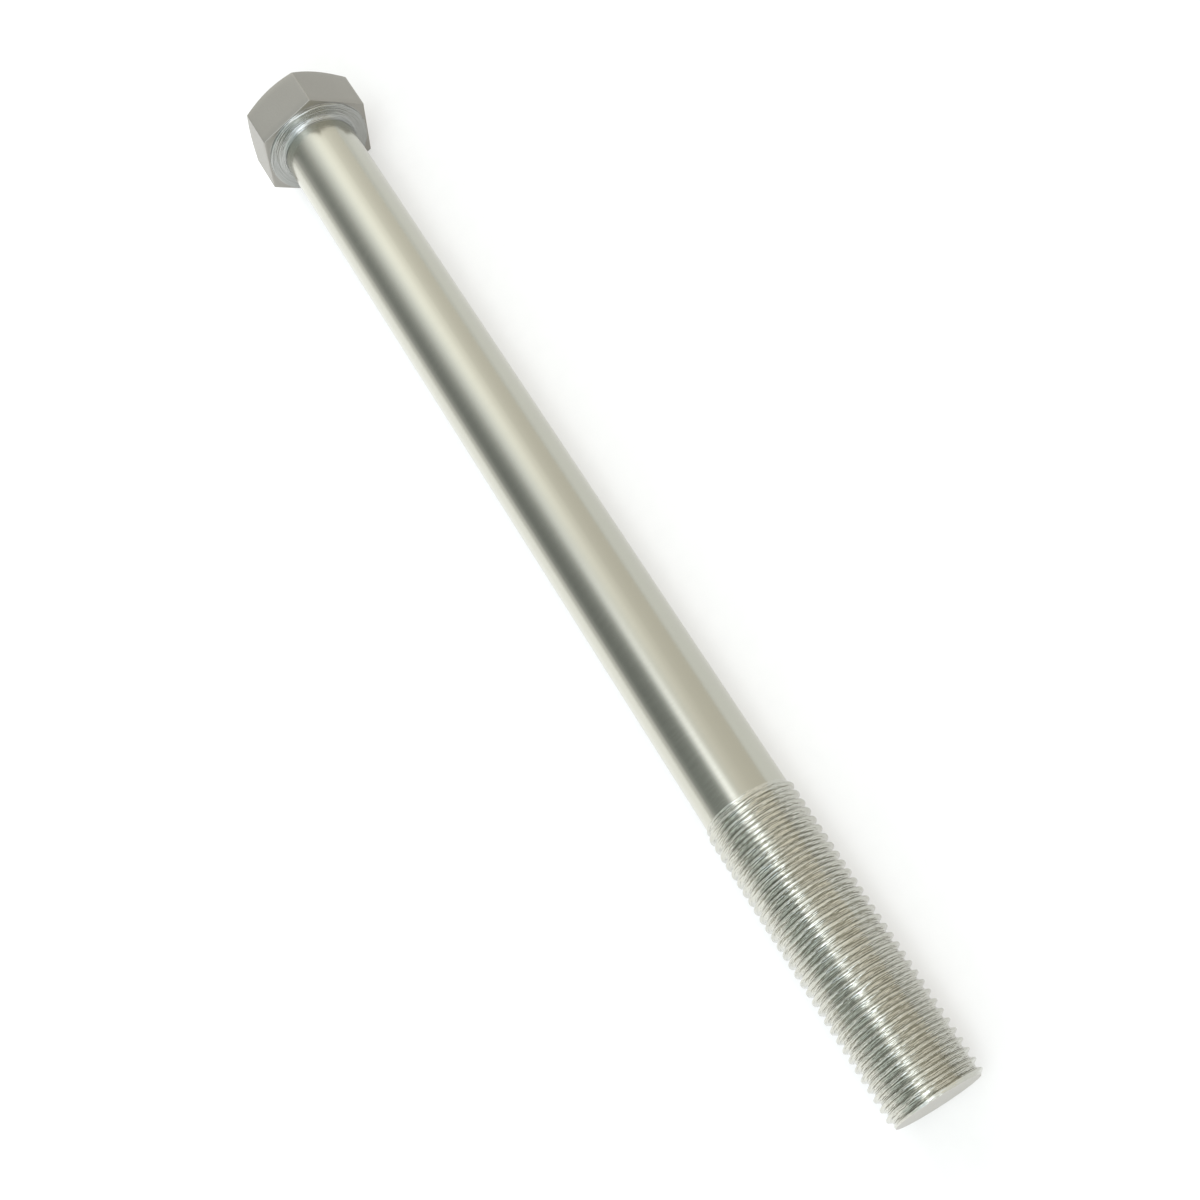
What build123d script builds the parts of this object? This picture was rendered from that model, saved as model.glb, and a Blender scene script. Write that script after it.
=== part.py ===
"""Hex cap screw M10 x 1 x 130: small-series hexagon head, washer face, reduced shank, rolled fine thread.

The screw is one forged and rolled piece. It is drawn upright on its own axis, +Z from the bearing face
towards the point, and then laid on the floor as it comes to rest: one flat of the head and the crest next
to the point touch z = 0, the point is towards +X, and the origin is under the middle of the screw.
Millimetres.
"""

import os
from math import atan2, ceil, cos, degrees, radians, sin, tan

from build123d import *

# Length and shank
length = 130.0                  # bearing face to point
shank_diameter = 9.1            # reduced shank, a little under the pitch diameter
fillet_radius = 0.6             # under the head

# Head
across_flats = 13.0
head_height = 6.4               # bearing face to top, washer face included
washer_face_diameter = 12.6
washer_face_height = 0.3
top_circle_diameter = 11.5      # flat left on top by the head chamfer
head_chamfer_angle = 30.0

# Thread
thread_size = 10.0              # nominal major diameter
pitch = 1.0
thread_length = 32.0
crest_allowance = 0.1           # how far the rolled crest stays inside the nominal diameter, on the radius
depth_per_pitch = 0.6134        # depth of an ISO external thread over its pitch
flat_per_pitch = 0.125          # flat of its crest at the nominal diameter over its pitch
flank_angle = 30.0              # one side of the 60 degree form
start_bevel_angle = 45.0        # how the first crest rises from the shank
washout_length = 1.6            # over which the root sinks from the shank to its full depth
crest_from_point = 0.14         # where the crest crosses the top line, back from the point

# Point
point_flat_diameter = 9.04
point_chamfer_angle = 45.0

shank_radius = shank_diameter / 2
point_flat_radius = point_flat_diameter / 2
crest_radius = thread_size / 2 - crest_allowance
root_radius = thread_size / 2 - depth_per_pitch * pitch
thread_start = length - thread_length


def ridge_half_width(radius):
    """Half the width of the thread's ridge along the axis, at a radius."""
    return flat_per_pitch * pitch / 2 + (thread_size / 2 - radius) * tan(radians(flank_angle))


# Hexagon, with a flat towards +X, and its top corners turned down to a cone
with BuildPart() as head:
    with BuildSketch(Plane.XY.offset(-head_height)):
        RegularPolygon(radius=across_flats / 2, side_count=6, major_radius=False, rotation=30)
    extrude(amount=head_height - washer_face_height)
    with BuildSketch(Plane.XZ):
        cone_reach = across_flats
        cone_drop = (cone_reach - top_circle_diameter / 2) * tan(radians(head_chamfer_angle))
        with BuildLine():
            Polyline(
                (0, 0),
                (0, -head_height),
                (top_circle_diameter / 2, -head_height),
                (cone_reach, cone_drop - head_height),
                (cone_reach, 0),
                close=True,
            )
        make_face()
    revolve(axis=Axis.Z, mode=Mode.INTERSECT)

# Washer face, fillet, shank, and the cone on which the thread runs out
with BuildPart() as shank:
    with BuildSketch(Plane.XZ):
        with BuildLine():
            fillet_foot = (shank_radius + fillet_radius, 0)
            fillet_top = (shank_radius, fillet_radius)
            washout_end = (root_radius, thread_start + washout_length)
            Polyline(
                fillet_top,
                (shank_radius, thread_start),
                washout_end,
                (0, washout_end[1]),
                (0, -washer_face_height),
                (washer_face_diameter / 2, -washer_face_height),
                (washer_face_diameter / 2, 0),
                fillet_foot,
            )
            RadiusArc(fillet_foot, fillet_top, -fillet_radius)
        make_face()
    revolve(axis=Axis.Z)

# Thread: the root cylinder, one ridge wound right-handed round it, both turned down at start and point
with BuildPart() as thread:
    turns = ceil(thread_length / pitch) + 2
    first_crest = length - crest_from_point - (turns - 1) * pitch
    sink = 0.1 * pitch                      # the ridge is rooted this far inside the root cylinder
    with BuildSketch(Plane.XY.offset(first_crest - 2 * pitch)):
        Circle(root_radius)
    extrude(amount=(turns + 4) * pitch)
    with BuildLine() as winding:
        Helix(pitch=pitch, height=turns * pitch, radius=root_radius, center=(0, 0, first_crest))
    with BuildSketch(Plane.XZ):
        foot = ridge_half_width(root_radius - sink)
        crest = ridge_half_width(crest_radius)
        with BuildLine():
            Polyline(
                (root_radius - sink, first_crest - foot),
                (crest_radius, first_crest - crest),
                (crest_radius, first_crest + crest),
                (root_radius - sink, first_crest + foot),
                close=True,
            )
        make_face()
    sweep(path=winding.edges(), is_frenet=True, clean=False)
    with BuildSketch(Plane.XZ):
        outside = crest_radius + sink       # the turning tools start this far outside the crest
        bevel_run = (outside - shank_radius) / tan(radians(start_bevel_angle))
        chamfer_run = (outside - point_flat_radius) * tan(radians(point_chamfer_angle))
        with BuildLine():
            Polyline(
                (0, thread_start),
                (shank_radius, thread_start),
                (outside, thread_start + bevel_run),
                (outside, length - chamfer_run),
                (point_flat_radius, length),
                (0, length),
                close=True,
            )
        make_face()
    revolve(axis=Axis.Z, mode=Mode.INTERSECT, clean=False)

with BuildPart() as upright_screw:
    add(head.part)
    add(shank.part)
    add(thread.part, clean=False)

# At rest the screw tips about the lower edge of the head's flat until a crest next to the point touches
crest_contact = length - crest_from_point - pitch / 2 + ridge_half_width(crest_radius)
rest_tilt = atan2(across_flats / 2 - crest_radius, crest_contact + washer_face_height)
head_edge_height = across_flats / 2 * cos(rest_tilt)
bearing_height = head_edge_height - washer_face_height * sin(rest_tilt)
head_end = -head_height * cos(rest_tilt) - top_circle_diameter / 2 * sin(rest_tilt)
point_end = length * cos(rest_tilt) + point_flat_radius * sin(rest_tilt)
at_rest = Plane(
    origin=(-(head_end + point_end) / 2, 0, bearing_height),
    x_dir=(sin(rest_tilt), 0, cos(rest_tilt)),
    z_dir=(cos(rest_tilt), 0, -sin(rest_tilt)),
)

with BuildPart(at_rest) as hex_cap_screw:
    add(upright_screw.part, clean=False)
hex_cap_screw.part.label = "hex_cap_screw"

os.makedirs("parts", exist_ok=True)
export_step(hex_cap_screw.part, "parts/hex_cap_screw.step")

box = hex_cap_screw.part.bounding_box()
print(f"thread adds {thread.part.volume:.1f} mm3 in {len(thread.part.faces())} faces")
print(f"rest tilt {degrees(rest_tilt):.3f} degrees")
print(f"bearing face centre at x {at_rest.origin.X:.3f} and z {at_rest.origin.Z:.3f} mm")
print(f"box {box.min} to {box.max}")
print(f"{len(hex_cap_screw.part.solids())} solid of {hex_cap_screw.part.volume:.1f} mm3")
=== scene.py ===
# %% [markdown]
# # Hex cap screw
# A forged stainless cap screw lies on a pale studio floor: a hexagon head with a turned-down top and a
# washer face, a long ground shank a little thinner than the thread, and a rolled fine thread.
# The whole screw is one piece of metal, so it is one closed mesh here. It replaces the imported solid,
# keeps its size to a hundredth of a millimetre, and adds the small roundings of the real surfaces.

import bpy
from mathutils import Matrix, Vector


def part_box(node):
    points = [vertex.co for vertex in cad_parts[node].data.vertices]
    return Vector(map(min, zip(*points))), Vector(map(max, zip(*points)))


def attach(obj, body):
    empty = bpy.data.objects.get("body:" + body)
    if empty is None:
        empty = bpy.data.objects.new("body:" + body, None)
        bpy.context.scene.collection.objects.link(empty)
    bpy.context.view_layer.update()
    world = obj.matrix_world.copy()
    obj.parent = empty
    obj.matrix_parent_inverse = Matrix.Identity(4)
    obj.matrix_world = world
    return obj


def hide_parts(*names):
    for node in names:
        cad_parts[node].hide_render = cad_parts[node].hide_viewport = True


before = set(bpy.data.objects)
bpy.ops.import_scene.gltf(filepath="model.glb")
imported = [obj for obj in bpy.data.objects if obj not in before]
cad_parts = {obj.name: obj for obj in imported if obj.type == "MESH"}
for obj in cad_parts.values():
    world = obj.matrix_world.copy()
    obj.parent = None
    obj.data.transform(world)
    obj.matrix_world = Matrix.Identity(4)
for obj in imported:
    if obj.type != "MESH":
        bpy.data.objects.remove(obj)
cad_low, cad_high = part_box("hex_cap_screw")
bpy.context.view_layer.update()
cad_corners = [[round(v * 1000, 3) for v in corner] for corner in (cad_low, cad_high)]
print("solid from", cad_corners[0], "to", cad_corners[1], "mm")

# %% Tools
from bisect import bisect
from math import acos, atan2, ceil, cos, degrees, hypot, pi, radians, sin, sqrt, tan

import bmesh
import bpy
from mathutils import Matrix, Quaternion, Vector

scene = bpy.context.scene
MM = 0.001

# %% [markdown]
# ## The screw's sizes
# A screw maker works from a short table: length, thread, width across flats, head height. The mesh is
# drawn in millimetres, upright on its own axis, with the bearing face of the head at zero and the point
# towards +Z, because every radius and height then reads straight from that table.

# %% Sizes in millimetres
length = 130.0
shank_radius = 4.55
under_head_fillet = 0.6

across_flats = 13.0
head_height = 6.4
washer_face_radius = 6.3
washer_face_height = 0.3
top_circle_radius = 5.75
top_slope = tan(radians(30))

# small roundings: round the top, where its cone meets the flats, below the flats, round the washer face
top_rounding = 0.35
slope_rounding = 0.12
lower_rounding = 0.04
face_rounding = 0.1

pitch = 1.0
nominal_radius = 5.0
# depth of the root below the nominal radius, as a share of the pitch, for a metric thread
root_share = 0.6134
thread_start = 98.0
crest_radius = 4.9
root_radius = nominal_radius - root_share * pitch
washout_length = 1.6
crest_from_point = 0.14
point_flat_radius = 4.52
print("thread depth", round(crest_radius - root_radius, 3), "mm at a pitch of", pitch, "mm")

# %% [markdown]
# ## One mesh, wound like the metal itself
# Three ways lead to a threaded screw: a Screw modifier on a thread profile, a Boolean of a helix with a
# rod, or rows of points placed one by one. The modifier leaves both thread ends open, and a Boolean leaves
# long thin triangles that show as streaks in polished metal. Here every column of points runs from the
# middle of the head to the middle of the point, and the rows between the thread's ends climb one pitch
# a turn, so each crest and root is a clean line of edges that catches the light evenly.

# %% [markdown]
# ## Head and shank
# The hexagon is forged between dies, so its corners aren't knife edges but keep a radius of a few
# hundredths of a millimetre; the top is then turned to a cone, which leaves the curved line where cone
# and flats meet. A bevel modifier would round every edge alike. Here each column carries its own
# profile, and the distance to the hexagon's side decides how far out it reaches, so the curved lines
# come out by themselves.

# %% Columns round the axis, closer together at the six corners
columns_per_flat = 18
near_corner = [radians(a) for a in (0.12, 0.3)]
column_angles = []
for flat in range(6):
    middle = flat * pi / 3
    even = [middle + (i + 0.5) / columns_per_flat * pi / 3 - pi / 6 for i in range(columns_per_flat)]
    close = [middle + side * (pi / 6 - a) for a in near_corner for side in (-1, 1)]
    column_angles += sorted(even + close)
column_angles = sorted(a % (2 * pi) for a in column_angles)
columns = len(column_angles)
print(columns, "columns")

# %% The hexagon's outline, with forged corners
corner_radius = 0.06


def hexagon_reach(angle):
    """Distance from the axis to the side of the hexagon at this angle."""
    apothem = across_flats / 2
    from_middle = abs((angle + pi / 6) % (pi / 3) - pi / 6)
    if tan(from_middle) * apothem < (apothem - corner_radius) * tan(pi / 6):
        return apothem / cos(from_middle)
    centre = (apothem - corner_radius) / cos(pi / 6)
    from_corner = pi / 6 - from_middle
    return centre * cos(from_corner) + sqrt(corner_radius**2 - (centre * sin(from_corner)) ** 2)


# %% A rounded corner between two straight stretches of a profile
def rounded(before, corner, after, radius, steps):
    """Points of the arc that eases this corner."""
    back = (Vector(before) - Vector(corner)).normalized()
    onward = (Vector(after) - Vector(corner)).normalized()
    half = acos(max(-1.0, min(1.0, back.dot(onward)))) / 2
    middle = Vector(corner) + (back + onward).normalized() * (radius / sin(half))
    first = Vector(corner) + back * (radius / tan(half)) - middle
    last = Vector(corner) + onward * (radius / tan(half)) - middle
    return [middle + first.slerp(last, i / steps).normalized() * radius for i in range(steps + 1)]


def stretch(start, end, count):
    """Points between two ends, without the ends."""
    return [Vector(start).lerp(Vector(end), i / count) for i in range(1, count)]


# %% Head and shank: one profile for each column
def head_and_shank(angle):
    """(radius, height) from near the axis on top of the head to where the thread starts."""
    side = hexagon_reach(angle)
    shoulder = -head_height + (side - top_circle_radius) * top_slope
    top_edge = (top_circle_radius, -head_height)
    slope_end = (side, shoulder)
    side_end = (side, -washer_face_height)
    step_foot = (washer_face_radius, -washer_face_height)
    face_edge = (washer_face_radius, 0.0)
    fillet_foot = (shank_radius, 0.0)
    shank_end = (shank_radius, thread_start)

    top = rounded((0, -head_height), top_edge, slope_end, top_rounding, 4)
    slope = rounded(top_edge, slope_end, side_end, slope_rounding, 3)
    lower = rounded(slope_end, side_end, step_foot, lower_rounding, 3)
    step = rounded(side_end, step_foot, face_edge, lower_rounding, 2)
    edge = rounded(step_foot, face_edge, fillet_foot, face_rounding, 4)
    fillet = rounded(face_edge, fillet_foot, shank_end, under_head_fillet, 8)
    rows = stretch((0, -head_height), top[0], 5) + top + stretch(top[-1], slope[0], 5) + slope
    rows += stretch(slope[-1], lower[0], 6) + lower + stretch(lower[-1], step[0], 3) + step
    rows += edge + stretch(edge[-1], fillet[0], 4) + fillet
    # two close rows at the end keep the thread's shading off the long last stretch
    close_rows = [Vector((shank_radius, thread_start - gap)) for gap in (0.3, 0.05)]
    return rows + stretch(fillet[-1], shank_end, 36) + close_rows


print(len(head_and_shank(0.0)), "rows on head and shank")

# %% [markdown]
# ## The rolled thread
# Hardened dies press this thread into the bar: metal sinks at the root and rises at the crest, so both
# are rounded, and the flanks are burnished smooth. The root starts at the shank and sinks to full depth
# over a turn and a half, and the first ridge rises from the shank at 45 degrees. A row of points keeps
# its place across the ridge all the way along the screw; only at the two ends is it held back.

# %% Across one ridge: distance from the crest line, and radius there
flank = radians(30)
crest_half = 0.08
crest_rounding = 0.05
# the dies fill the root a little, so it is rounder and shallower than the drawn thread
root_fill = 0.06
root_bottom = root_radius + root_fill
sharp_root = crest_radius - (pitch / 2 - crest_half) / tan(flank)
root_round = root_bottom - sharp_root
root_middle = Vector((pitch / 2, sharp_root + root_round / sin(flank)))
flank_end = root_middle + Vector((-cos(flank), -sin(flank))) * root_round
root_arc = [flank_end.copy()]
for step in range(1, 4):
    down = flank + (pi / 2 - flank) * step / 4
    root_arc.append(root_middle + Vector((-cos(down), -sin(down))) * root_round)
# where metal rises from both sides and meets, a shallow seam runs along the crest
seam_depth = 0.02
seam = Vector((0, crest_radius - seam_depth))
half_ridge = [Vector((0.03, crest_radius))]
half_ridge += rounded(half_ridge[0], (crest_half, crest_radius), flank_end, crest_rounding, 2)
half_ridge += root_arc
ridge = [Vector((-p.x, p.y)) for p in reversed(half_ridge)] + [seam] + half_ridge
ridge.append(Vector((pitch / 2, root_bottom)))
print(len(ridge), "rows to a pitch:", [(round(p.x, 3), round(p.y, 3)) for p in half_ridge])


# %% Where a point of the thread lies
def ridge_reach(across):
    """Radius at this distance across the ridge from its crest line."""
    after = bisect([p.x for p in ridge], across)
    if after == 0 or after == len(ridge):
        return root_bottom
    low, high = ridge[after - 1], ridge[after]
    return low.y + (high.y - low.y) * (across - low.x) / (high.x - low.x)


def on_thread(angle, height):
    """(radius, height) of a point on the thread, held between the thread's start and the screw's point."""
    if height < thread_start + least_step:
        return Vector((shank_radius, thread_start))
    if height > length - least_step:
        height = length
    across = (height - pitch * angle / (2 * pi) - last_crest + pitch / 2) % pitch - pitch / 2
    sunk = min((height - thread_start) / washout_length, 1.0)
    core = shank_radius + (root_bottom - shank_radius) * sunk
    bevel = shank_radius + (height - thread_start)
    chamfer = point_flat_radius + (length - height)
    return Vector((min(max(core, min(ridge_reach(across), bevel)), chamfer), height))


least_step = 0.03
last_crest = length - crest_from_point
turns = ceil(length - thread_start) + 2
thread_rows = [last_crest + (turn + 1 - turns) * pitch + p.x for turn in range(turns) for p in ridge]
print(len(thread_rows), "rows on the thread")

# %% Wind the mesh
metal = bmesh.new()


def point_at(angle, point):
    """A point of the mesh at this angle, from its (radius, height)."""
    return metal.verts.new((point.x * cos(angle), point.x * sin(angle), point.y))


head_columns = [[point_at(a, p) for p in head_and_shank(a)] for a in column_angles]
thread_columns = [
    [point_at(a, on_thread(a, row + pitch * a / (2 * pi))) for row in thread_rows] for a in column_angles
]
for i in range(columns):
    here, there = head_columns[i], head_columns[(i + 1) % columns]
    for j in range(len(here) - 1):
        metal.faces.new((here[j], there[j], there[j + 1], here[j + 1]))
    # after a whole turn a row of the thread meets the row one pitch further on
    climb = len(ridge) if i == columns - 1 else 0
    upper, beside = thread_columns[i], thread_columns[(i + 1) % columns]
    metal.faces.new((here[-1], there[-1], beside[climb], upper[0]))
    for j in range(len(upper) - 1 - climb):
        metal.faces.new((upper[j], beside[j + climb], beside[j + climb + 1], upper[j + 1]))
print(len(metal.verts), "points and", len(metal.faces), "faces before the ends are merged")

# %% Close the top of the head and the point
def close_end(rim, height, shares):
    """Rings that shrink towards the axis, and a fan in the middle."""
    ring = rim
    for share in shares:
        inner = [metal.verts.new((v.co.x * share, v.co.y * share, height)) for v in rim]
        for i in range(columns):
            metal.faces.new((ring[i - 1], ring[i], inner[i], inner[i - 1]))
        ring = inner
    middle = metal.verts.new((0, 0, height))
    for i in range(columns):
        metal.faces.new((ring[i - 1], ring[i], middle))


close_end([column[0] for column in head_columns], -head_height, (0.66, 0.33))
close_end([column[-1] for column in thread_columns], length, (0.99, 0.8, 0.55, 0.25))
# at both ends of the thread many rows are held back to one circle; they become one row here
bmesh.ops.remove_doubles(metal, verts=metal.verts, dist=0.004)
bmesh.ops.dissolve_degenerate(metal, edges=metal.edges, dist=0.002)
bmesh.ops.recalc_face_normals(metal, faces=metal.faces)
open_edges = sum(not edge.is_manifold for edge in metal.edges)
volume = metal.calc_volume(signed=True)
print(len(metal.faces), "faces,", open_edges, "open edges,", round(volume, 1), "mm3")

# %% [markdown]
# ## Regions of the surface
# One piece of metal, but five tools have left their marks on it: the forging die on the head, the
# turning tool on washer face and fillet, the grinding wheel on the shank, the rolling dies on the
# thread, and the shear on the point. Each face of the mesh takes the material of the tool that made it.

# %% Sort the faces by the tool that made them
FORGED, TURNED, GROUND, ROLLED, SHEARED = range(5)
hair = 0.001


def region(face):
    """Which surface a face belongs to."""
    place = face.calc_center_median()
    reach = hypot(place.x, place.y)
    if place.z > length - hair:
        return SHEARED
    if place.z > thread_start:
        return ROLLED
    if place.z > under_head_fillet:
        return GROUND
    if place.z > -washer_face_height - hair and reach < washer_face_radius + lower_rounding:
        return TURNED
    return FORGED


counts = [0] * 5
for face in metal.faces:
    face.material_index = region(face)
    face.smooth = True
    counts[face.material_index] += 1
sharp_from = radians(42)
for edge in metal.edges:
    edge.smooth = edge.calc_face_angle(0.0) < sharp_from
print("faces forged, turned, ground, rolled, sheared:", counts)

# %% [markdown]
# ## At rest on the floor
# The head is wider than the thread, so the screw tips: the lower edge of one flat and the crest next to
# the point touch the floor. An object could carry that tilt, but then the box round it would be the
# tilted box of the upright mesh, a millimetre and a half too tall. So the mesh itself is laid down and
# its object stays at the origin; the materials undo the same move, so their lines follow the axis.

# %% Lay the screw down
tip_crest = last_crest - pitch / 2 + crest_half
tilt = atan2(across_flats / 2 - crest_radius, tip_crest + washer_face_height)
up_flat = Vector((sin(tilt), 0, cos(tilt)))
axis = Vector((cos(tilt), 0, -sin(tilt)))
bearing_height = across_flats / 2 * cos(tilt) - washer_face_height * sin(tilt)
head_end = -head_height * cos(tilt) - top_circle_radius * sin(tilt)
point_end = length * cos(tilt) + point_flat_radius * sin(tilt)
bearing_centre = Vector((-(head_end + point_end) / 2, 0, bearing_height))

data = bpy.data.meshes.new("screw")
metal.to_mesh(data)
metal.free()
turned = Matrix((up_flat, axis.cross(up_flat), axis)).transposed().to_4x4()
laid_down = Matrix.Translation(bearing_centre * MM) @ turned
data.transform(Matrix.Scale(MM, 4))
data.transform(laid_down)
screw = bpy.data.objects.new("screw", data)
scene.collection.objects.link(screw)
even = screw.modifiers.new("even_shading", "WEIGHTED_NORMAL")
even.keep_sharp = True
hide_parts("hex_cap_screw")
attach(screw, "root")
low = [round(min(v.co[i] for v in data.vertices) / MM, 3) for i in range(3)]
high = [round(max(v.co[i] for v in data.vertices) / MM, 3) for i in range(3)]
print("tilt", round(degrees(tilt), 3), "degrees, mesh from", low, "to", high, "mm")

# %% [markdown]
# ## Stainless steel, five ways
# Austenitic stainless steel is a warm pale grey metal. A metal has no colour of its own under the
# shine: its base colour is the tint of what it mirrors, and the tool marks decide how sharp the mirror
# is. So all the finishes share one steel, and differ in roughness, in the way their fine lines run and
# in how much the tone wanders.

# %% Helpers for colour and nodes
def from_hex(colour):
    """sRGB hex to the linear values that a shader takes."""
    parts = [int(colour[i : i + 2], 16) / 255 for i in (1, 3, 5)]
    return [c / 12.92 if c <= 0.04045 else ((c + 0.055) / 1.055) ** 2.4 for c in parts] + [1.0]


def add(tree, kind, inputs=None, **settings):
    """A node with its settings, its fixed values and its links."""
    made = tree.nodes.new(kind)
    for name, value in settings.items():
        setattr(made, name, value)
    for socket, value in (inputs or {}).items():
        if isinstance(value, bpy.types.NodeSocket):
            tree.links.new(value, made.inputs[socket])
        else:
            made.inputs[socket].default_value = value
    return made


def empty_material(name):
    """A material with a bare node tree."""
    made = bpy.data.materials.new(name)
    made.use_nodes = True
    made.node_tree.nodes.clear()
    return made


def sums(tree, operation, *values):
    """One arithmetic step between values or sockets."""
    return add(tree, "ShaderNodeMath", dict(enumerate(values)), operation=operation).outputs[0]


# %% Where the lines of each tool run
upright = laid_down.inverted()


def on_the_screw(tree):
    """The place on the upright screw, with its axis as Z, for patterns that follow the axis."""
    lying = add(tree, "ShaderNodeTexCoord").outputs["Object"]
    undone = add(tree, "ShaderNodeMapping", {
        "Vector": lying, "Location": upright.to_translation(), "Rotation": upright.to_euler(),
    })
    return undone.outputs["Vector"]


def unlined(tree, place):
    """No direction: grains of the same size every way."""
    return place


def round_the_axis(tree, place, spacing_mm, drift_mm):
    """Rings side by side along the axis, as a wheel or a turning tool leaves them on a cylinder."""
    squash = (1 / (drift_mm * MM), 1 / (drift_mm * MM), 1 / (spacing_mm * MM))
    return add(tree, "ShaderNodeMapping", {"Vector": place, "Scale": squash}).outputs["Vector"]


def round_a_face(tree, place, spacing_mm, drift_mm):
    """Rings inside one another, as a turning tool leaves them on a face and up the fillet beside it."""
    split = add(tree, "ShaderNodeSeparateXYZ", {0: place})
    flat_place = add(tree, "ShaderNodeCombineXYZ", {"X": split.outputs["X"], "Y": split.outputs["Y"]})
    reach = add(tree, "ShaderNodeVectorMath", {0: flat_place.outputs[0]}, operation="LENGTH")
    outward = sums(tree, "SUBTRACT", reach.outputs["Value"], split.outputs["Z"])
    slow = 1 / (drift_mm * MM)
    ringed = add(tree, "ShaderNodeCombineXYZ", {
        "X": sums(tree, "MULTIPLY", split.outputs["X"], slow),
        "Y": sums(tree, "MULTIPLY", split.outputs["Y"], slow),
        "Z": sums(tree, "MULTIPLY", outward, 1 / (spacing_mm * MM)),
    })
    return ringed.outputs[0]


def along_the_thread(tree, place, spacing_mm, drift_mm):
    """Lines that wind with the ridge, as the rolling dies leave them."""
    split = add(tree, "ShaderNodeSeparateXYZ", {0: place})
    turn = sums(tree, "ARCTAN2", split.outputs["Y"], split.outputs["X"])
    climb = sums(tree, "MULTIPLY", turn, pitch * MM / (2 * pi))
    unwound = sums(tree, "SUBTRACT", split.outputs["Z"], climb)
    from_root = sums(tree, "SUBTRACT", unwound, (last_crest - pitch / 2) * MM)
    across = sums(tree, "FLOORED_MODULO", from_root, pitch * MM)
    slow = 1 / (drift_mm * MM)
    # a share of the height is mixed in, so that one turn slowly differs from the next
    share_of_height = sums(tree, "MULTIPLY", split.outputs["Z"], 0.25)
    sideways = sums(tree, "ADD", split.outputs["X"], share_of_height)
    wound = add(tree, "ShaderNodeCombineXYZ", {
        "X": sums(tree, "MULTIPLY", sideways, slow),
        "Y": sums(tree, "MULTIPLY", split.outputs["Y"], slow),
        "Z": sums(tree, "MULTIPLY", across, 1 / (spacing_mm * MM)),
    })
    return wound.outputs[0]


# %% One finish: steel tint, wandering tone, lines in the roughness and in the relief
def steel_finish(name, tints, cloud_mm, roughness, relief_mm, lines=unlined, **spacing):
    """tints and roughness are pairs of limits; cloud_mm is how far the tone wanders before it turns;
    relief_mm is how deep the marks are drawn; lines says how they run.
    """
    made = empty_material(name)
    tree = made.node_tree
    place = on_the_screw(tree)
    cloud = add(tree, "ShaderNodeTexNoise", {
        "Vector": place, "Scale": 1 / (cloud_mm * MM), "Detail": 3.0,
    })
    tone = add(
        tree, "ShaderNodeMix",
        {"Factor": cloud.outputs["Fac"], "A": from_hex(tints[0]), "B": from_hex(tints[1])},
        data_type="RGBA",
    )
    scale = 1.0 if spacing else 1 / (grain_mm * MM)
    along_lines = lines(tree, place, **spacing)
    marks = add(tree, "ShaderNodeTexNoise", {"Vector": along_lines, "Scale": scale, "Detail": 2.0})
    # noise keeps near its middle, so its 0.3 to 0.7 is stretched to the whole height of the marks
    high = add(tree, "ShaderNodeMapRange", {
        "Value": marks.outputs["Fac"], "From Min": 0.3, "From Max": 0.7,
    })
    dull = add(tree, "ShaderNodeMapRange", {
        "Value": high.outputs["Result"], "To Min": roughness[0], "To Max": roughness[1],
    })
    relief = add(tree, "ShaderNodeBump", {"Height": high.outputs["Result"], "Distance": relief_mm * MM})
    steel = add(tree, "ShaderNodeBsdfPrincipled", {
        "Base Color": tone.outputs["Result"], "Metallic": 1.0, "Roughness": dull.outputs["Result"],
        "Normal": relief.outputs["Normal"],
    })
    add(tree, "ShaderNodeOutputMaterial", {"Surface": steel.outputs["BSDF"]})
    data.materials.append(made)


# %% [markdown]
# ## Head: cold forged stainless steel
# The head is upset cold in a polished die and tumbled clean, which leaves an even satin with no
# direction. An image of brushed metal would show lines that the real head hasn't got, so a fine noise
# without direction roughens it. To the eye: the dullest and darkest of the five surfaces, with soft
# light that doesn't change across a flat.

# %% Cold forged stainless steel
# the real grain is some hundredths of a millimetre wide; it is drawn coarser, so that it just shows
grain_mm = 0.25
steel_finish("cold_forged_stainless", ("#9C9993", "#A2A09A"), 4.0, (0.36, 0.42), 0.004)
print("satin grain", grain_mm, "mm")

# %% [markdown]
# ## Washer face and fillet: turned stainless steel
# One round-nosed tool faces the washer ring and runs down into the fillet, and leaves rings inside one
# another. Rings could be modelled, but at a tenth of a millimetre they would cost more faces than the
# head; relief in the shader bends the light the same way. To the eye: a bright ring with a short
# glint that fans out across the lines.

# %% Turned stainless steel
# the feed is about 0.05 mm a turn and leaves marks a few micrometres deep; three turns are drawn as
# one line, and much deeper, so that the rings show
ring_spacing = 0.16
# the steel tint here is set darker than the shank's as painted shade, for the shade under the head that
# washer face and fillet mirror
steel_finish(
    "turned_stainless", ("#A4A5A2", "#ACADAA"), 4.0, (0.16, 0.24), 0.05,
    lines=round_a_face, spacing_mm=ring_spacing, drift_mm=3.0,
)
print("turned rings", ring_spacing, "mm apart")

# %% [markdown]
# ## Shank: ground stainless steel
# The bar was ground between wheels before the thread was rolled, and is the smoothest of the surfaces:
# a soft mirror with long straight reflections. Its rings are a few micrometres deep. Anisotropy on the
# shader would blur the reflections as well, but shallow rings do it with their real direction. To the
# eye: a bright streak, a dark line and a pale edge that run the whole length.

# %% Ground stainless steel
# grinding marks lie some hundredths of a millimetre apart and are drawn coarser, so that they just show
grind_spacing = 0.15
steel_finish(
    "ground_stainless", ("#BAB9AF", "#BEBDB2"), 9.0, (0.18, 0.23), 0.002,
    lines=round_the_axis, spacing_mm=grind_spacing, drift_mm=2.0,
)
print("grinding rings", grind_spacing, "mm apart")

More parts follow.
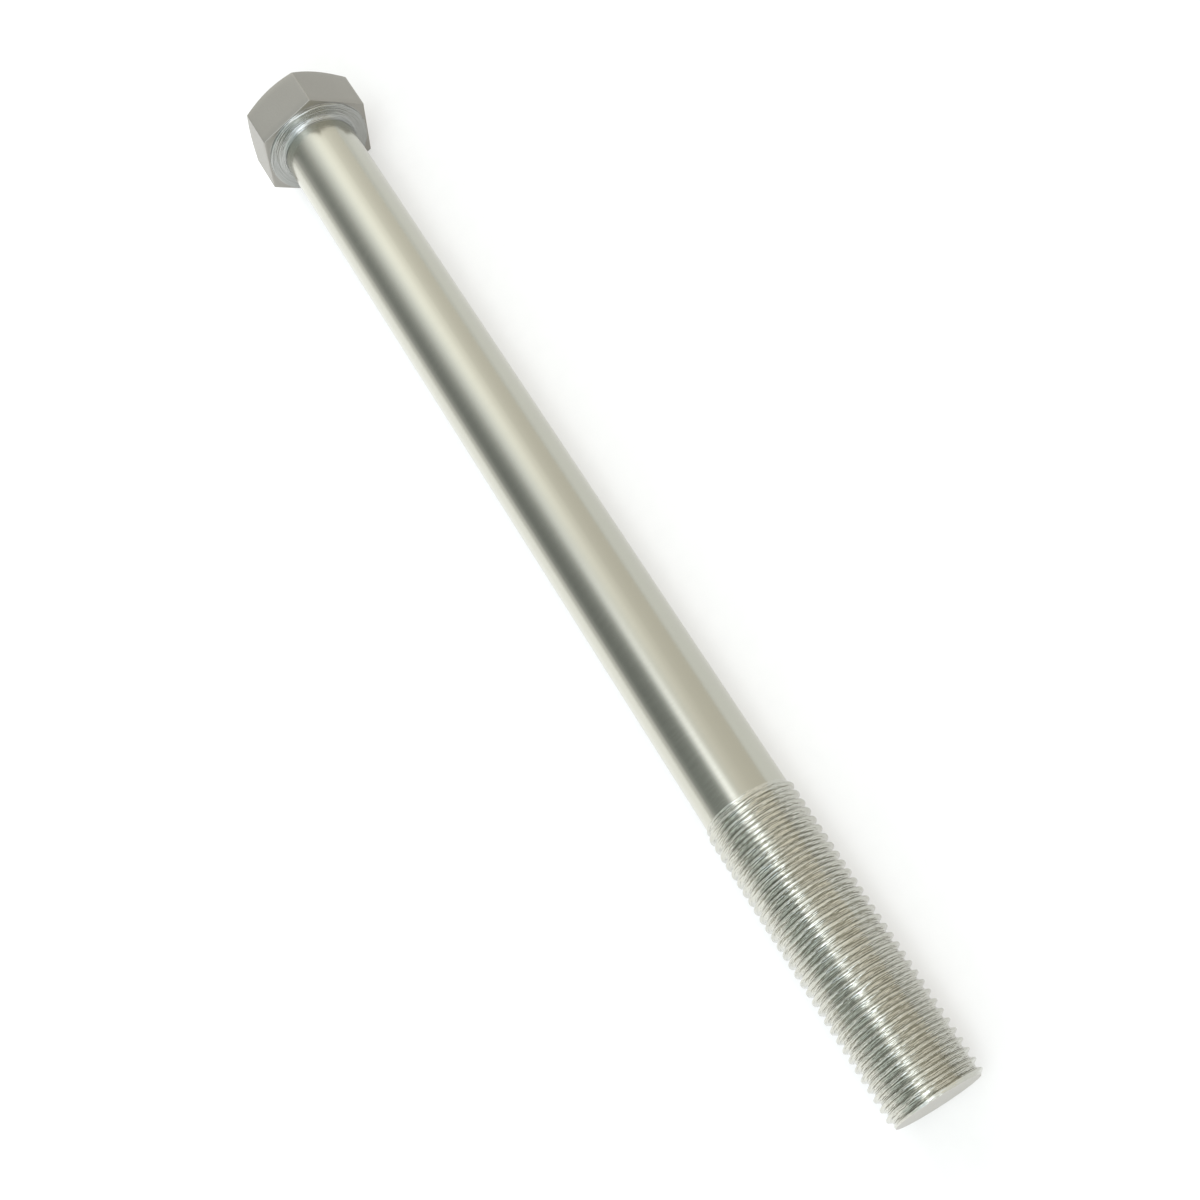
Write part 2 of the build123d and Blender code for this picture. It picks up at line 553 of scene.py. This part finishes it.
# %% [markdown]
# ## Thread: rolled stainless steel
# Rolling dies press and rub the ridge into shape, which burnishes it brighter than the shank and leaves
# fine lines that wind with it. The lines follow the helix, so their pattern is laid out by the distance
# across the ridge, measured from the root, and not by height. To the eye: rows of short white glints
# where the light is met, and fine dark and light lines beside them.

# %% Rolled stainless steel
# die marks lie about 0.05 mm apart and are shallow; they are drawn 0.16 mm apart, which is as fine as
# still shows, and deeper than the real ones
die_mark_spacing = 0.16
steel_finish(
    "rolled_stainless", ("#BCBBB3", "#C2C1B8"), 3.0, (0.06, 0.11), 0.1,
    lines=along_the_thread, spacing_mm=die_mark_spacing, drift_mm=2.2,
)
print("die marks", die_mark_spacing, "mm apart")

# %% [markdown]
# ## Point: sheared stainless steel
# The bar is cut to length and its end is tumbled with the rest. A cut face could show a saw's arcs, but
# tumbling has worn them off, so a plain noise is enough. To the eye: dull and even, and a little
# lighter than the head.

# %% Sheared stainless steel
steel_finish("sheared_stainless", ("#B8B5AF", "#BFBCB5"), 2.0, (0.38, 0.46), 0.004)
print("materials:", [m.name for m in data.materials])

# %% [markdown]
# ## Studio
# Polished metal shows its surroundings more than itself, so the studio is drawn with the same care as
# the screw. Area lamps would leave hard-edged shapes in the shank; a world made of soft walls and
# lights gives every direction a smooth value, and light for the floor as well.

# %% Floor
# matt white paper that glows a little, so that it reads as plain white. Far behind the screw the glow falls
# off to a pale grey, painted shade that gives the far side of the metal its form; nearest the lamps a
# painted pool of light makes it brightest
paper_glow = 0.47
far_glow = 0.34
painted_pool_glow = 0.39
floor_size = 4.0
floor_mesh = bpy.data.meshes.new("floor")
half = floor_size / 2
floor_corners = [(-half, -half, 0), (half, -half, 0), (half, half, 0), (-half, half, 0)]
floor_mesh.from_pydata(floor_corners, [], [(0, 1, 2, 3)])
studio_floor = bpy.data.objects.new("floor", floor_mesh)
scene.collection.objects.link(studio_floor)

paper = empty_material("matt_white_paper")
tree = paper.node_tree
place = add(tree, "ShaderNodeTexCoord").outputs["Object"]
ray = add(tree, "ShaderNodeLightPath")
grain = add(tree, "ShaderNodeTexNoise", {"Vector": place, "Scale": 1 / (2.0 * MM)})
sheet = add(
    tree, "ShaderNodeMix",
    {"Factor": grain.outputs["Fac"], "A": from_hex("#B4B4B4"), "B": from_hex("#B9B9B9")},
    data_type="RGBA",
)
# only rays that are seen meet the glow, so it doesn't light the screw and the shadow stays
camera_or_gloss = sums(tree, "MAXIMUM", ray.outputs["Is Camera Ray"], ray.outputs["Is Glossy Ray"])
seen = sums(tree, "MAXIMUM", camera_or_gloss, ray.outputs["Is Transmission Ray"])
behind_screw = (-0.656, 0.755, 0.0)
past_edge = add(tree, "ShaderNodeVectorMath", {0: place, 1: behind_screw}, operation="DOT_PRODUCT")
# painted shade: far behind the screw the glow falls off to a pale grey, which the metal mirrors
painted_falloff = add(
    tree, "ShaderNodeMapRange",
    {
        "Value": past_edge.outputs["Value"], "From Min": 66 * MM, "From Max": 110 * MM,
        "To Min": paper_glow, "To Max": far_glow,
    },
    interpolation_type="SMOOTHSTEP",
)
across = add(tree, "ShaderNodeSeparateXYZ", {0: place}).outputs["Y"]
# painted light: on the near side of the screw the glow rises, a painted pool of light that the metal
# mirrors
painted_pool = add(
    tree, "ShaderNodeMapRange",
    {"Value": across, "From Min": -4 * MM, "From Max": -14 * MM, "To Min": 0.0, "To Max": painted_pool_glow},
    interpolation_type="SMOOTHSTEP",
)
glow_here = sums(tree, "ADD", painted_falloff.outputs["Result"], painted_pool.outputs["Result"])
lift = sums(tree, "MULTIPLY", seen, glow_here)
matt = add(tree, "ShaderNodeBsdfDiffuse", {"Color": sheet.outputs["Result"]})
glow = add(tree, "ShaderNodeEmission", {"Color": from_hex("#FFFFFF"), "Strength": lift})
both = add(tree, "ShaderNodeAddShader", {0: matt.outputs["BSDF"], 1: glow.outputs["Emission"]})
add(tree, "ShaderNodeOutputMaterial", {"Surface": both.outputs["Shader"]})
floor_mesh.materials.append(paper)
print("floor", floor_size, "m wide, glowing at", paper_glow)

# %% [markdown]
# ## Walls and lights
# On the near side hangs a charcoal flag, a dark cloth that puts a dark line into bright metal; on the
# far side stands a cream wall, and low on the near side a white board. Past the head the wall is pale,
# because the thread's grooves mirror it twice. Directions are the screw's own: X along it towards the
# point, Y across it towards the far side, Z up, each from -1 to 1.

# %% Walls, as the world round the table
def smooth_step(tree, value, start, end):
    """0 before start, 1 after end, eased between them."""
    return add(
        tree, "ShaderNodeMapRange", {"Value": value, "From Min": start, "From Max": end},
        interpolation_type="SMOOTHSTEP",
    ).outputs["Result"]


def blend(tree, share, first, second):
    """first where share is 0, second where it is 1."""
    mixed = add(tree, "ShaderNodeMix", {"Factor": share, "A": first, "B": second}, data_type="RGBA")
    return mixed.outputs["Result"]


def levels(red, green, blue):
    """A light of this strength in each colour, 1 being plain white."""
    return (red, green, blue, 1.0)


studio = bpy.data.worlds.new("studio")
scene.world = studio
studio.use_nodes = True
tree = studio.node_tree
tree.nodes.clear()
toward = add(tree, "ShaderNodeTexCoord").outputs["Generated"]
along = add(tree, "ShaderNodeSeparateXYZ", {0: toward}).outputs
charcoal_flag, green_flag = levels(0.2, 0.215, 0.21), levels(0.82, 0.91, 0.87)
cream_wall, bright_wall = levels(0.74, 0.72, 0.645), levels(1.0, 0.97, 0.86)
low_board = levels(1.04, 1.05, 1.04)
wall_past_head = levels(1.15, 1.15, 1.1)
flag = blend(tree, smooth_step(tree, along["X"], -0.3, -0.02), charcoal_flag, green_flag)
far_wall = blend(tree, smooth_step(tree, along["X"], -0.2, 0.2), cream_wall, bright_wall)
walls = blend(tree, smooth_step(tree, along["Y"], -0.07, 0.45), flag, far_wall)
walls = blend(tree, smooth_step(tree, along["X"], -0.7, -0.85), walls, wall_past_head)
on_near_side = smooth_step(tree, along["Y"], 0.1, -0.2)
below_flag = smooth_step(tree, along["Z"], 0.52, -0.14)
room = blend(tree, sums(tree, "MULTIPLY", on_near_side, below_flag), walls, low_board)


# %% Soft windows past head and point, and a long strip light over the thread
def glow_round(tree, value, middle, spread):
    """1 in the middle, fading evenly to both sides."""
    off = sums(tree, "DIVIDE", sums(tree, "SUBTRACT", value, middle), spread)
    return sums(tree, "EXPONENT", sums(tree, "MULTIPLY", sums(tree, "MULTIPLY", off, off), -1.0))


def shine(tree, light, fade, room):
    """The room with this light added where fade is 1."""
    beam = add(tree, "ShaderNodeVectorMath", {0: light[:3], "Scale": fade}, operation="SCALE")
    lit = add(tree, "ShaderNodeVectorMath", {0: room, 1: beam.outputs["Vector"]}, operation="ADD")
    return lit.outputs["Vector"]


end_window = sums(
    tree, "MULTIPLY", glow_round(tree, along["X"], -0.61, 0.27), glow_round(tree, along["Y"], 0.12, 0.43),
)
strip_light = sums(
    tree, "MULTIPLY", smooth_step(tree, along["X"], -0.5, -0.15), glow_round(tree, along["Y"], -0.03, 0.17),
)
blue_window = sums(
    tree, "MULTIPLY", glow_round(tree, along["X"], 0.8, 0.2), glow_round(tree, along["Y"], -0.1, 0.3),
)
end_light = levels(0.95, 0.97, 0.97)
thread_light = levels(1.8, 1.82, 1.9)
sky_light = levels(0.1, 0.25, 0.55)
light = shine(tree, end_light, end_window, room)
light = shine(tree, thread_light, strip_light, light)
light = shine(tree, sky_light, blue_window, light)
# steel gives back only about half of what it mirrors, so the walls are a little brighter than white
wall_strength = 1.136
air = add(tree, "ShaderNodeBackground", {"Color": light, "Strength": wall_strength})
add(tree, "ShaderNodeOutputWorld", {"Surface": air.outputs["Background"]})
print("walls at", wall_strength, "times plain white")

# %% [markdown]
# ## Camera
# A normal lens from above and a little to the side, turned so that the screw runs from the upper left
# to the lower right with its point nearest. It aims near the middle of the shank.

# %% Camera
lens_mm = 50.0
aim = Vector((8.76, -1.37, 5.0)) * MM
distance = 173.2 * MM
azimuth, elevation, roll = radians(28.24), radians(60.79), radians(-64.2)
toward_camera = Vector((cos(elevation) * cos(azimuth), cos(elevation) * sin(azimuth), sin(elevation)))
camera = bpy.data.objects.new("camera", bpy.data.cameras.new("camera"))
scene.collection.objects.link(camera)
camera.data.lens = lens_mm
camera.data.sensor_width = 36.0
camera.data.clip_start = 0.01
camera.matrix_world = (
    Matrix.Translation(aim + toward_camera * distance)
    @ (toward_camera.to_track_quat("Z", "Y") @ Quaternion((0, 0, 1), roll)).to_matrix().to_4x4()
)
scene.camera = camera
scene.view_settings.view_transform = "Standard"
print("camera at", [round(v / MM, 1) for v in camera.location], "mm")
